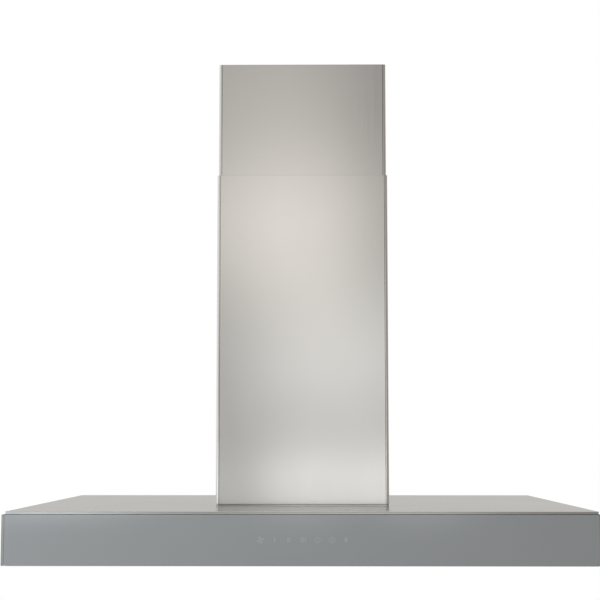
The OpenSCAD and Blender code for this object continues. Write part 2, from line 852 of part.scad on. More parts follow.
// C-shaped guide for the right edge of the latch plate
module latch_guide() {
  wall = 1.2;
  ledge = 3;
  y = [filter_y[0] + filter_t, filter_y[0] + latch_len + 2];
  edge = latch_half_w + latch_clear;
  over_z = latch_z + latch_t + latch_clear;
  slab([edge, edge + wall], y, [filter_z[0] + filter_t, over_z + 1]);
  slab([edge - ledge, edge], y, [latch_z - latch_clear - 1, latch_z - latch_clear]);
  slab([edge - ledge, edge], y, [over_z, over_z + 1]);
}

module filter_frame() {
  half = filter_w / 2;
  color("gainsboro") {
    difference() {
      slab([-half, half], filter_y, filter_z);
      slab([-half + filter_t, half - filter_t], [filter_y[0] + filter_t, filter_y[1] - filter_t],
        [filter_z[0] + filter_t, filter_z[1] - filter_t]);
      slab([-half + filter_lip, half - filter_lip], [filter_y[0] + apron, filter_y[1] - filter_lip],
        [filter_z[0] - 1, filter_z[1] + 1]);
      slab([-pull_half_w - 1, pull_half_w + 1], [pull_y - 1, pull_y + pull_t + latch_travel + 8],
        [filter_z[0] - 1, filter_z[0] + filter_t + 1]);
      slab([-tongue_half_w - 0.5, tongue_half_w + 0.5], [filter_y[0] - 1, filter_y[0] + filter_t + 1],
        [latch_z - latch_clear, latch_z + latch_t + latch_clear]);
    }
    for (side = [0, 1])
      mirror([side, 0, 0]) {
        translate([half - filter_t, pin_y, pin_z]) rotate([0, 90, 0])
          cylinder(h = filter_t + pin_reach, r = pin_r, $fn = 32);
        latch_guide();
      }
  }
}

// Channel along y: a base and two legs, open upward from z
module baffle(w, h, y) {
  slab([-w / 2, w / 2], y, [0, baffle_t]);
  for (side = [0, 1])
    mirror([side, 0, 0]) slab([w / 2 - baffle_t, w / 2], y, [0, h]);
}

module filter_baffles() {
  low = filter_z[0] + filter_t;
  high = filter_z[1] - filter_t;
  first = -(baffle_count - 1) * baffle_pitch / 2;
  top_h = high - low - baffle_h * 0.4;
  half = filter_w / 2 - filter_t;
  color("lightgray") {
    for (n = [0:baffle_count - 1])
      translate([first + n * baffle_pitch, 0, low]) baffle(baffle_w, baffle_h, cassette_y);
    for (n = [0:baffle_count - 2])
      translate([first + (n + 0.5) * baffle_pitch, 0, high]) mirror([0, 0, 1])
        baffle(baffle_top_w, top_h, cassette_y);
    for (y = [cassette_y[0], cassette_y[1] - baffle_end_t])
      slab([-half, half], [y, y + baffle_end_t], [low, high]);
  }
}

// Latch plate with its tongue at the front and its finger pull below
module filter_latch() {
  body_y = filter_y[0] + filter_t + 0.5;
  color("silver") {
    slab(
      [-tongue_half_w, tongue_half_w], [filter_y[0] - latch_tip, body_y + 1], [latch_z, latch_z + latch_t]);
    slab([-latch_half_w, latch_half_w], [body_y, filter_y[0] + latch_len], [latch_z, latch_z + latch_t]);
    slab([-pull_half_w, pull_half_w], [pull_y, pull_y + pull_t], [filter_z[0] + 0.5, latch_z + latch_t]);
  }
}

module filter_frame_left() { at_bay(-1) filter_frame(); }
module filter_baffles_left() { at_bay(-1) filter_baffles(); }
module filter_latch_left() { at_bay(-1) filter_latch(); }
module filter_frame_centre() { at_bay(0) filter_frame(); }
module filter_baffles_centre() { at_bay(0) filter_baffles(); }
module filter_latch_centre() { at_bay(0) filter_latch(); }
module filter_frame_right() { at_bay(1) filter_frame(); }
module filter_baffles_right() { at_bay(1) filter_baffles(); }
module filter_latch_right() { at_bay(1) filter_latch(); }

ceiling_plate();
upper_posts();
upper_flue_front();
upper_flue_rear();
upper_flue_left();
upper_flue_right();
canopy_deck();
canopy_skirt();
bottom_panel();
glass_front();
glass_rear();
glass_left();
glass_right();
glass_tape();
flue_collar();
lower_posts();
post_braces();
clamp_bolts();
blower_box();
scroll_band();
scroll_cheek_front();
scroll_cheek_rear();
motor_bracket();
motor_body();
capacitor();
duct_collar();
damper_spindle();
control_board();
driver_box();
junction_box();
junction_lid();
lamp_bezels();
lamp_lenses();
lamp_bodies();
lower_flue_front();
lower_flue_rear();
lower_flue_left();
lower_flue_right();
filter_frame_left();
filter_baffles_left();
filter_latch_left();
filter_frame_centre();
filter_baffles_centre();
filter_latch_centre();
filter_frame_right();
filter_baffles_right();
filter_latch_right();
fan_wheel();
fan_blades();
motor_shaft();
damper_flap_left();
damper_flap_right();
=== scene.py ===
import json
import math

import bmesh
import bpy
from mathutils import Matrix, Vector


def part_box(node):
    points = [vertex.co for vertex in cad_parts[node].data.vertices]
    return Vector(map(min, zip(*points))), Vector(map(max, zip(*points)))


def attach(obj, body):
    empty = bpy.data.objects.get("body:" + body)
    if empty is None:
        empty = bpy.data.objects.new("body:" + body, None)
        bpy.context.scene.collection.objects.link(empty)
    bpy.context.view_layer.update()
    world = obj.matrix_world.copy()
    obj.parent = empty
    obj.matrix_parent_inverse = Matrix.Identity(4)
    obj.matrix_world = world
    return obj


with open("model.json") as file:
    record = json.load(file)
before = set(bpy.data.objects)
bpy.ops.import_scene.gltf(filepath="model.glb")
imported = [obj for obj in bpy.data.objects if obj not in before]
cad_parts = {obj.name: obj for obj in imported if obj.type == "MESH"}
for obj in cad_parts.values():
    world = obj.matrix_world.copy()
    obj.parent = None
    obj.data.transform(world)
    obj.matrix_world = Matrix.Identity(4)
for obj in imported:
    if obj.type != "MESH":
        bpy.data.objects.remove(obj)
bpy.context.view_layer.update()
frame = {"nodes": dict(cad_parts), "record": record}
nodes = frame["nodes"]
MM = 0.001


# ---- Objects ----

def add_object(name, data):
    """A new object of the scene, with that mesh, lamp or camera."""
    made = bpy.data.objects.new(name, data)
    bpy.context.scene.collection.objects.link(made)
    return made


def add_shape(name, shaped, material):
    """A new object of the scene in one material, from a bmesh, which is used up."""
    mesh = bpy.data.meshes.new(name)
    shaped.to_mesh(mesh)
    shaped.free()
    mesh.materials.append(material)
    return add_object(name, mesh)


# ---- Shader building blocks ----

def new_material(name, colour, roughness, metallic=0.0):
    """A material with its Principled shader set: returns the material, its tree and the shader."""
    made = bpy.data.materials.new(name)
    made.use_nodes = True
    shader = made.node_tree.nodes["Principled BSDF"]
    shader.inputs["Base Color"].default_value = (*colour, 1)
    shader.inputs["Roughness"].default_value = roughness
    shader.inputs["Metallic"].default_value = metallic
    return made, made.node_tree, shader


def place(tree, stretch):
    """Object coordinates, in metres, multiplied by stretch."""
    source = tree.nodes.new("ShaderNodeTexCoord")
    fit = tree.nodes.new("ShaderNodeMapping")
    fit.inputs["Scale"].default_value = stretch
    tree.links.new(source.outputs["Object"], fit.inputs["Vector"])
    return fit.outputs["Vector"]


def noise(tree, stretch, detail=2.0):
    """Noise from 0 to 1 with stretch cycles a metre along each axis."""
    made = tree.nodes.new("ShaderNodeTexNoise")
    made.inputs["Scale"].default_value = 1
    made.inputs["Detail"].default_value = detail
    tree.links.new(place(tree, stretch), made.inputs["Vector"])
    return made.outputs["Fac"]


def cells(tree, size):
    """A random value from 0 to 1 for each crystal-like cell of that size."""
    made = tree.nodes.new("ShaderNodeTexVoronoi")
    made.inputs["Scale"].default_value = 1 / size
    tree.links.new(place(tree, (1, 1, 1)), made.inputs["Vector"])
    split = tree.nodes.new("ShaderNodeSeparateColor")
    tree.links.new(made.outputs["Color"], split.inputs["Color"])
    return split.outputs["Red"]


def remap(tree, value, low, high, edges=(0.25, 0.75)):
    """Turns the stretch of value between the edges into low to high."""
    made = tree.nodes.new("ShaderNodeMapRange")
    made.inputs["From Min"].default_value = edges[0]
    made.inputs["From Max"].default_value = edges[1]
    made.inputs["To Min"].default_value = low
    made.inputs["To Max"].default_value = high
    tree.links.new(value, made.inputs["Value"])
    return made.outputs["Result"]


def tint(tree, shader, value, colour, depth):
    """Lets the base colour run from colour darkened by depth to colour lightened by it."""
    made = tree.nodes.new("ShaderNodeMix")
    made.data_type = "RGBA"
    made.inputs["A"].default_value = (*[c * (1 - depth) for c in colour], 1)
    made.inputs["B"].default_value = (*[min(1, c * (1 + depth)) for c in colour], 1)
    tree.links.new(remap(tree, value, 0, 1), made.inputs["Factor"])
    tree.links.new(made.outputs["Result"], shader.inputs["Base Color"])


def bump(tree, shader, value, height):
    """Raises the surface by up to height, in metres, where value is high."""
    made = tree.nodes.new("ShaderNodeBump")
    made.inputs["Strength"].default_value = 1
    made.inputs["Distance"].default_value = height
    tree.links.new(value, made.inputs["Height"])
    tree.links.new(made.outputs["Normal"], shader.inputs["Normal"])


# ---- Materials ----

GRAIN_ALONG = 6            # cycles a metre of a brushed grain, along the brushing
GRAIN_ACROSS = 1400        # and across it
GRAIN_SWING = 0.03         # of the roughness, from the grain
GRAIN_HEIGHT = 0.002 * MM
SMUDGE_SWING = 0.015       # of the roughness, from wide and faint smudges


def brushed_steel(name, colour, roughness, along, spread=0.0, radial="Z", depth=1.0):
    """Steel brushed along one axis, with a grain of that depth.

    Spread widens highlights across the brushing, round the radial axis.
    """
    made, tree, shader = new_material(name, colour, roughness, 1.0)
    grain = noise(tree, tuple(GRAIN_ALONG if axis == along else GRAIN_ACROSS for axis in "xyz"))
    tint(tree, shader, grain, colour, 0.02)
    smudge = noise(tree, (7, 7, 7), 3)
    rough = tree.nodes.new("ShaderNodeMath")
    swing = GRAIN_SWING * depth
    tree.links.new(remap(tree, grain, roughness - swing, roughness + swing), rough.inputs[0])
    tree.links.new(remap(tree, smudge, -SMUDGE_SWING, SMUDGE_SWING), rough.inputs[1])
    tree.links.new(rough.outputs["Value"], shader.inputs["Roughness"])
    bump(tree, shader, grain, GRAIN_HEIGHT * depth)
    if spread:
        shader.inputs["Anisotropic"].default_value = spread
        tangent = tree.nodes.new("ShaderNodeTangent")
        tangent.axis = radial
        tree.links.new(tangent.outputs["Tangent"], shader.inputs["Tangent"])
    return made


def painted_glass(name, colour):
    """Toughened glass painted on its back: a clear gloss over even paint."""
    made, tree, shader = new_material(name, colour, 0.55)
    tint(tree, shader, noise(tree, (9, 9, 9), 4), colour, 0.012)
    shader.inputs["Coat Weight"].default_value = 1
    shader.inputs["Coat Roughness"].default_value = 0.04
    shader.inputs["Coat IOR"].default_value = 1.5
    return made


def glass_edge():
    """The ground arris round a glass panel, paler than its face."""
    colour = (0.42, 0.45, 0.455)
    made, tree, shader = new_material("glass_edge", colour, 0.3)
    tint(tree, shader, noise(tree, (300, 300, 300), 2), colour, 0.1)
    return made


def galvanised():
    """Zinc-coated sheet with its frosty crystals."""
    colour = (0.50, 0.52, 0.53)
    made, tree, shader = new_material("galvanised", colour, 0.4, 0.85)
    crystals = cells(tree, 6 * MM)
    tint(tree, shader, crystals, colour, 0.09)
    tree.links.new(remap(tree, crystals, 0.34, 0.48, (0, 1)), shader.inputs["Roughness"])
    bump(tree, shader, noise(tree, (500, 500, 500)), 0.01 * MM)
    return made


def plated_steel():
    """Zinc-plated bolts and shafts with fine turning marks."""
    colour = (0.48, 0.47, 0.45)
    made, tree, shader = new_material("bolt_steel", colour, 0.3, 1.0)
    marks = noise(tree, (1500, 1500, 1500))
    tint(tree, shader, marks, colour, 0.06)
    tree.links.new(remap(tree, marks, 0.24, 0.38), shader.inputs["Roughness"])
    return made


def grained(name, colour, roughness, grain_size, height, depth=0.03, metallic=0.0):
    """Cast metal, paint, plastic or foam with an even grain of that size."""
    made, tree, shader = new_material(name, colour, roughness, metallic)
    per_metre = 1 / grain_size
    grain = noise(tree, (per_metre, per_metre, per_metre), 3)
    tint(tree, shader, noise(tree, (15, 15, 15), 3), colour, depth)
    tree.links.new(remap(tree, grain, roughness - 0.05, roughness + 0.05), shader.inputs["Roughness"])
    bump(tree, shader, grain, height)
    return made


def circuit_board():
    """Green solder mask with paler copper tracks showing through."""
    mask = (0.02, 0.11, 0.05)
    made, tree, shader = new_material("board", mask, 0.35)
    tracks = tree.nodes.new("ShaderNodeTexBrick")
    tracks.inputs["Scale"].default_value = 90
    tracks.inputs["Mortar Size"].default_value = 0.06
    tracks.inputs["Color1"].default_value = (*mask, 1)
    tracks.inputs["Color2"].default_value = (0.025, 0.13, 0.06, 1)
    tracks.inputs["Mortar"].default_value = (0.06, 0.24, 0.10, 1)
    tree.links.new(place(tree, (1, 0, 1)), tracks.inputs["Vector"])
    tree.links.new(tracks.outputs["Color"], shader.inputs["Base Color"])
    return made


def frosted_lens():
    """Frosted plastic cover of a lamp, with a fine grain."""
    colour = (0.92, 0.92, 0.90)
    made, tree, shader = new_material("lens", colour, 0.3)
    tint(tree, shader, noise(tree, (60, 60, 60)), colour, 0.02)
    shader.inputs["Transmission Weight"].default_value = 0.1
    shader.inputs["Coat Weight"].default_value = 0.6
    bump(tree, shader, noise(tree, (900, 900, 900)), 0.01 * MM)
    return made


FLUE_STEEL = (0.70, 0.685, 0.66)
# Painted light: a paler copy of the flue steel, so that the lower flue reads brighter than the
# recessed upper one above its step
LOWER_STEEL_PAINTED_LIGHT = (0.722, 0.706, 0.68)     # of the lower flue, paler than the upper one
FLUE_ROUGHNESS = 0.24
FLUE_SPREAD = 0.25
DECK_STEEL = (0.51, 0.50, 0.485)
# Painted highlight on the deck's rounded edges: a ground edge paler than the brushed top, lightened
# further so that it reads as bright as the top
DECK_EDGE_PAINTED_HIGHLIGHT = (0.80, 0.785, 0.76)
INNER_STEEL = (0.60, 0.595, 0.58)
FILTER_STEEL = (0.66, 0.655, 0.64)
CAN_STEEL = (0.72, 0.72, 0.73)
GLASS_PAINT = (0.272, 0.282, 0.286)
SYMBOL_PAINT = (0.345, 0.360, 0.366)
MOTOR_PAINT = (0.035, 0.038, 0.04)
CAST_ALUMINIUM = (0.62, 0.62, 0.63)
CASE_PLASTIC = (0.62, 0.62, 0.60)
DAMPER_PLASTIC = (0.02, 0.02, 0.022)
# Black of the bonding tape, also used for the dark pieces of painted shade below
TAPE_FOAM_AND_PAINTED_SHADE = (0.03, 0.03, 0.03)

# One material for each slot of the record
materials = {
    "flue_steel": brushed_steel("flue_steel", FLUE_STEEL, FLUE_ROUGHNESS, "z", spread=FLUE_SPREAD),
    "deck_steel": brushed_steel(
        "deck_steel", DECK_STEEL, 0.22, "x", spread=0.6, radial="X", depth=0.4),
    "grey_glass": painted_glass("grey_glass", GLASS_PAINT),
    "inner_steel": brushed_steel("inner_steel", INNER_STEEL, 0.34, "x"),
    "filter_steel": brushed_steel("filter_steel", FILTER_STEEL, 0.28, "y"),
    "galvanised": galvanised(),
    # The tape's material: the real bonding tape, and also the dark pieces of painted shade
    "tape": grained("tape", TAPE_FOAM_AND_PAINTED_SHADE, 0.85, grain_size=0.8 * MM, height=0.1 * MM),
    "bolt_steel": plated_steel(),
    "motor_paint": grained("motor_paint", MOTOR_PAINT, 0.4, grain_size=1.5 * MM, height=0.02 * MM),
    "aluminium": grained(
        "aluminium", CAST_ALUMINIUM, 0.42, grain_size=0.5 * MM, height=0.02 * MM, metallic=1.0),
    "capacitor_can": brushed_steel("capacitor_can", CAN_STEEL, 0.25, "z"),
    "board": circuit_board(),
    "driver_case": grained("driver_case", CASE_PLASTIC, 0.5, grain_size=0.7 * MM, height=0.02 * MM),
    "lens": frosted_lens(),
    "damper_plastic": grained(
        "damper_plastic", DAMPER_PLASTIC, 0.45, grain_size=0.6 * MM, height=0.02 * MM),
}
glass_arris = glass_edge()
# Painted light: the lower flue's paler copy of the flue steel
lower_steel_painted_light = brushed_steel("lower_flue_steel_painted_light", LOWER_STEEL_PAINTED_LIGHT, FLUE_ROUGHNESS, "z", spread=FLUE_SPREAD)
# Painted highlight: pale steel for the deck's rounded edges
deck_edge_painted_highlight = brushed_steel("deck_edge_painted_highlight", DECK_EDGE_PAINTED_HIGHLIGHT, 0.30, "x")
# Each part takes its slot's material, except the lower flue's parts, which take the paler copy:
# painted light
for part in frame["record"]["subparts"]:
    lower = part["node"].startswith("lower_flue_")
    mesh = nodes[part["node"]].data
    mesh.materials.clear()
    mesh.materials.append(lower_steel_painted_light if lower else materials[part["material_slot"]])


# ---- Rounded edges ----

def soften(name, width, segments=2, edge=None, clamp=True):
    """Rounds the sharp edges of a CAD node for the picture, in edge's material if one is given.

    Clamp holds the width back where edges crowd each other.
    """
    target = nodes[name]
    weld = target.modifiers.new("weld", "WELD")
    weld.merge_threshold = 0.01 * MM
    rounding = target.modifiers.new("rounding", "BEVEL")
    rounding.width = width
    rounding.segments = segments
    rounding.use_clamp_overlap = clamp
    rounding.limit_method = "ANGLE"
    rounding.angle_limit = math.radians(50)
    if edge:
        target.data.materials.append(edge)
        rounding.material = 1
    normals = target.modifiers.new("normals", "WEIGHTED_NORMAL")
    normals.keep_sharp = True


for side in ("front", "rear", "left", "right"):
    soften("glass_" + side, 0.9 * MM, edge=glass_arris)
for side in ("front", "rear"):
    soften("lower_flue_" + side, 0.3 * MM)
    soften("upper_flue_" + side, 0.3 * MM)
# The deck's rounded edges take the pale steel of the painted highlight
soften("canopy_deck", 0.6 * MM, segments=3, edge=deck_edge_painted_highlight, clamp=False)
soften("flue_collar", 0.4 * MM)


# ---- Touch symbols ----

def line(x0, z0, x1, z1, width):
    """A straight stroke from one point to another, in millimetres, as faces of a symbol."""
    length = math.hypot(x1 - x0, z1 - z0)
    across = ((z0 - z1) / length * width / 2, (x1 - x0) / length * width / 2)
    return [[
        (x0 - across[0], z0 - across[1]), (x1 - across[0], z1 - across[1]),
        (x1 + across[0], z1 + across[1]), (x0 + across[0], z0 + across[1])]]


def arc(radius, width, start=0, end=360, x=0, z=0):
    """A round stroke from start to end, in degrees anticlockwise from the right."""
    steps = max(4, round((end - start) / 15))
    rims = (radius - width / 2, radius + width / 2)
    points = []
    for k in range(steps + 1):
        turn = math.radians(start + (end - start) * k / steps)
        points.append([(x + r * math.cos(turn), z + r * math.sin(turn)) for r in rims])
    return [[a[0], a[1], b[1], b[0]] for a, b in zip(points, points[1:])]


def dot(radius, x=0, z=0, stretch=1, lean=0):
    """A filled oval, stretch times as long as it is wide, turned by lean degrees."""
    turn = math.radians(lean)
    oval = [math.tau * k / 24 for k in range(24)]
    flat = [(stretch * radius * math.cos(t), radius * math.sin(t)) for t in oval]
    return [[
        (x + u * math.cos(turn) - v * math.sin(turn), z + u * math.sin(turn) + v * math.cos(turn))
        for u, v in flat]]


def fan_symbol():
    """Four blades round a hub."""
    faces = dot(0.8)
    for lean in (20, 110, 200, 290):
        turn = math.radians(lean)
        faces += dot(
            1.3, 3.4 * math.cos(turn), 3.4 * math.sin(turn), stretch=1.7, lean=lean + 25)
    return faces


def speed_symbol(count):
    """One upright bar for each step of the fan's speed."""
    faces = []
    for k in range(count):
        x = (k - (count - 1) / 2) * 3
        faces += line(x, -4, x, 4, 1.3)
    return faces


def power_symbol():
    """A ring that is open at its top, with a bar in the gap."""
    return arc(4, 1, -240, 60) + line(0, 0.5, 0, 4.8, 1)


def timer_symbol():
    """A clock's face with two hands."""
    return arc(4.2, 0.9) + line(0, 0, 0, 2.8, 0.9) + line(0, 0, 2, -1.4, 0.9)


def lamp_symbol():
    """A bulb with three rays above it."""
    faces = dot(2.3) + line(-1.2, -3.2, 1.2, -3.2, 0.9)
    for lean in (35, 90, 145):
        x, z = math.cos(math.radians(lean)), math.sin(math.radians(lean))
        faces += line(3.2 * x, 3.2 * z, 4.7 * x, 4.7 * z, 0.9)
    return faces


glass_low, glass_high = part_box("glass_front")
PRINT_T = 0.03 * MM        # of the symbols, in front of the glass
SYMBOL_PITCH = 21.7 * MM
ROW_RIGHT = 2.9 * MM       # of the glass's middle
ROW_RISE = 39.5 * MM       # above its lower edge
symbol_print = painted_glass("symbol_print", SYMBOL_PAINT)
symbols = [
    ("fan", fan_symbol()), ("speed_1", speed_symbol(1)), ("speed_2", speed_symbol(2)),
    ("speed_3", speed_symbol(3)), ("power", power_symbol()), ("timer", timer_symbol()),
    ("lamp", lamp_symbol())]
for place_in_row, (name, faces) in enumerate(symbols, -(len(symbols) // 2)):
    x = ROW_RIGHT + place_in_row * SYMBOL_PITCH
    z = glass_low.z + ROW_RISE
    points, loops = [], []
    for face in faces:
        loops.append(list(range(len(points), len(points) + len(face))))
        points += [(x + u * MM, glass_low.y - PRINT_T, z + v * MM) for u, v in face]
    mesh = bpy.data.meshes.new("symbol_" + name)
    mesh.from_pydata(points, [], loops)
    mesh.materials.append(symbol_print)
    symbol = add_object("symbol_" + name, mesh)
    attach(symbol, "canopy")


# ---- Screws ----

HEAD_SIDES = 24
HEX_STEP = HEAD_SIDES // 6     # sides of a head to each side of its hexagon recess
RECESS_RINGS = 2               # the first rings of the profile
# From the recess's floor to the head's foot, as shares of the head's radius and of its height
HEAD_PROFILE = [(0.42, 0.43), (0.42, 0.95), (0.62, 1.0), (0.86, 0.72), (1.0, 0.24), (1.0, 0)]
DOMED_HEAD = 0.58              # height of a head, as a share of its radius
FLAT_HEAD = 0.18               # low enough for the lower flue to slide over


def head_ring(step):
    """The angles of a ring of the profile: a hexagon in the recess, and round beyond it."""
    corners = [k - k % HEX_STEP if step < RECESS_RINGS else k for k in range(HEAD_SIDES)]
    return [math.tau * corner / HEAD_SIDES for corner in corners]


def screws(name, spots, facing, radius, body, height=DOMED_HEAD):
    """Heads with a hexagon recess on the given spots, which ride body."""
    turn = Vector(facing).to_track_quat("Z", "Y").to_matrix()
    shaped = bmesh.new()
    for spot in spots:
        rings = []
        for step, (r, rise) in enumerate(HEAD_PROFILE):
            rings.append([shaped.verts.new(Vector(spot) + turn @ Vector((
                r * radius * math.cos(t), r * radius * math.sin(t), rise * height * radius)))
                for t in head_ring(step)])
        for inner, outer in zip(rings, rings[1:]):
            for k in range(HEAD_SIDES):
                after = (k + 1) % HEAD_SIDES
                shaped.faces.new((inner[k], outer[k], outer[after], inner[after]))
        shaped.faces.new(rings[0])
    bmesh.ops.remove_doubles(shaped, verts=shaped.verts, dist=0.001 * MM)
    bmesh.ops.recalc_face_normals(shaped, faces=shaped.faces)
    made = add_shape(name, shaped, materials["bolt_steel"])
    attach(made, body)


def circle(centre, radius, turns, upright):
    """Spots round a centre, at the given degrees: in the level plane, or in the upright XZ plane."""
    spots = []
    for turn in map(math.radians, turns):
        across, along = radius * math.cos(turn), radius * math.sin(turn)
        spots.append(Vector(centre) + Vector((across, 0, along) if upright else (across, along, 0)))
    return spots


FLUE_SCREW_Y = 0.095           # before and behind the flue's middle
FLUE_SCREW_DROP = 12 * MM      # below the ceiling
for side, name in ((-1, "left"), (1, "right")):
    low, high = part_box("upper_flue_" + name)
    wall = low.x if side < 0 else high.x
    spots = [(wall, y, -FLUE_SCREW_DROP) for y in (-FLUE_SCREW_Y, FLUE_SCREW_Y)]
    screws(
        "screws_upper_flue_" + name, spots, (side, 0, 0), 3.4 * MM, "ceiling_frame", FLAT_HEAD)

LID_SCREW_INSET = 5 * MM       # from the lid's edges
low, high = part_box("junction_lid")
spots = [
    (x, y, high.z) for x in (low.x + LID_SCREW_INSET, high.x - LID_SCREW_INSET)
    for y in (low.y + LID_SCREW_INSET, high.y - LID_SCREW_INSET)]
screws("screws_junction_lid", spots, (0, 0, 1), 2.2 * MM, "canopy")

FLANGE_T = 1.5 * MM            # of the outlet collar's flange
RIVET_INSET = 4.5 * MM         # from the flange's rim
low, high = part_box("duct_collar")
spots = circle((0, 0, low.z + FLANGE_T), high.x - RIVET_INSET, range(15, 360, 60), upright=False)
screws("rivets_duct_collar", spots, (0, 0, 1), 2 * MM, "canopy")

PANEL_SCREW_X = (-0.36, -0.12, 0.12, 0.36)
PANEL_SCREW_INSET = 6 * MM     # from the skirt's front and rear
low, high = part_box("canopy_skirt")
spots = [(x, sy * (high.y - PANEL_SCREW_INSET), low.z) for x in PANEL_SCREW_X for sy in (-1, 1)]
screws("screws_bottom_panel", spots, (0, 0, -1), 2.6 * MM, "canopy")

MOTOR_BOLT_R = 26 * MM         # of the circle that the motor's bolts lie on
BRACKET_SCREW_R = 73 * MM      # of the one for the screws in its bracket's feet
BRACKET_RIM = 3 * MM           # from the feet's faces to the bracket's rear
THREE_ARMS = (30, 150, 270)    # degrees
low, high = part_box("motor_body")
axle_x, axle_z = (low.x + high.x) / 2, (low.z + high.z) / 2
spots = circle((axle_x, high.y, axle_z), MOTOR_BOLT_R, THREE_ARMS, upright=True)
screws("bolts_motor", spots, (0, 1, 0), 3 * MM, "canopy")
low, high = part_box("motor_bracket")
spots = circle(
    (axle_x, high.y - BRACKET_RIM, axle_z), BRACKET_SCREW_R, THREE_ARMS, upright=True)
screws("screws_motor_bracket", spots, (0, 1, 0), 2.6 * MM, "canopy")


# ---- Dark bands of painted shade ----

# thickness of the dark bands of painted shade
SHADE_BAND_T = 0.6 * MM
GAP_SHADE_H = 0.6 * MM            # height of the dark band of painted shade behind the glass's upper edge
GAP_SHADE_R = 1 * MM            # of its corners
FOOT_SHADE_H = 0.6 * MM           # height of the dark band of painted shade under the lower flue's foot
FOOT_SHADE_BACK = 0.4 * MM      # from the flue's face
FLUE_BEND = 4 * MM             # radius of the flue's folded corners
CORNER_STEPS = 4               # of a shade band's rounded corner
# width of the dark strips of painted shade in the flues' seams
SEAM_SHADE_W = 0.6 * MM
LAP_T = 0.5 * MM               # of the panels' joggled edges
# depth of those strips of painted shade
SEAM_SHADE_T = 0.2 * MM


def shade_piece(name, shaped, body):
    """Makes a dark piece of painted shade, in the tape's black material, which rides body, from a
    filled-in bmesh.
    """
    bmesh.ops.recalc_face_normals(shaped, faces=shaped.faces)
    made = add_shape(name, shaped, materials["tape"])
    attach(made, body)


def rounded_ring(half_w, half_d, radius):
    """Points round a rectangle with rounded corners, in order."""
    points = []
    for quarter, (sx, sy) in enumerate(((1, 1), (-1, 1), (-1, -1), (1, -1))):
        for step in range(CORNER_STEPS + 1):
            turn = math.radians(90 * quarter + 90 / CORNER_STEPS * step)
            points.append((
                sx * (half_w - radius) + radius * math.cos(turn),
                sy * (half_d - radius) + radius * math.sin(turn)))
    return points


def shade_band(name, low, high, half_w, half_d, radius):
    """A thin dark band of painted shade from low to high, with its outer faces at half_w and half_d.
    """
    shaped = bmesh.new()
    rings = []
    for z, inset in ((low, 0), (high, 0), (high, SHADE_BAND_T), (low, SHADE_BAND_T)):
        outline = rounded_ring(half_w - inset, half_d - inset, radius - inset)
        rings.append([shaped.verts.new((x, y, z)) for x, y in outline])
    for here, there in zip(rings, rings[1:] + rings[:1]):
        for k in range(len(here)):
            after = (k + 1) % len(here)
            shaped.faces.new((here[k], here[after], there[after], there[k]))
    shade_piece(name, shaped, "canopy")


def seam_shades(name, section, body):
    """Dark strips of painted shade in a flue section's four seams, between its strips and its panels.
    """
    front_low, front_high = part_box(section + "_front")
    strip = -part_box(section + "_left")[1].x
    lap_face = front_high.y - LAP_T
    shaped = bmesh.new()
    for side_x in (-1, 1):
        for side_y in (-1, 1):
            size = Matrix.Diagonal((SEAM_SHADE_W, SEAM_SHADE_T, front_high.z - front_low.z, 1))
            middle = Matrix.Translation((
                side_x * (strip - SEAM_SHADE_W / 2), side_y * (-lap_face + SEAM_SHADE_T / 2),
                (front_low.z + front_high.z) / 2))
            bmesh.ops.create_cube(shaped, size=1, matrix=middle @ size)
    shade_piece(name, shaped, body)


skirt_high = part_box("canopy_skirt")[1]
# Painted shade: a dark band in the shadow gap above the glass, one under the lower flue's foot, and
# dark strips in the flues' seams
shade_band(
    "shadow_gap_painted_shade", glass_high.z, glass_high.z + GAP_SHADE_H,
    skirt_high.x + SHADE_BAND_T, skirt_high.y + SHADE_BAND_T, GAP_SHADE_R)
foot_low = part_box("lower_flue_left")[0]
shade_band(
    "flue_foot_painted_shade", foot_low.z - FOOT_SHADE_H, foot_low.z,
    -foot_low.x - FOOT_SHADE_BACK, -foot_low.y - FOOT_SHADE_BACK, FLUE_BEND - FOOT_SHADE_BACK)
seam_shades("lower_flue_seam_shades", "lower_flue", "lower_flue")
seam_shades("upper_flue_seam_shades", "upper_flue", "ceiling_frame")


# ---- Camera ----

EYE_RIGHT = 0.019              # of the hood's middle
EYE_FORWARD = 2.041            # of the front glass
EYE_RISE = 0.104               # above the top of the glass
TURN_LEFT = math.radians(0.59)
TILT_UP = math.radians(5.42)
FOCAL_LENGTH = 79.8
SHIFT_UP = 0.033
camera = add_object("camera", bpy.data.cameras.new("camera"))
camera.data.lens = FOCAL_LENGTH
camera.data.shift_y = SHIFT_UP
camera.location = (EYE_RIGHT, glass_low.y - EYE_FORWARD, glass_high.z + EYE_RISE)
camera.rotation_euler = (math.radians(90) + TILT_UP, 0, TURN_LEFT)
bpy.context.scene.camera = camera


# ---- Floor ----

FLOOR_R = 1.4
FLOOR_DROP = 1.65
FLOOR_FADE = 0.6               # share of the radius at which the floor starts to fade


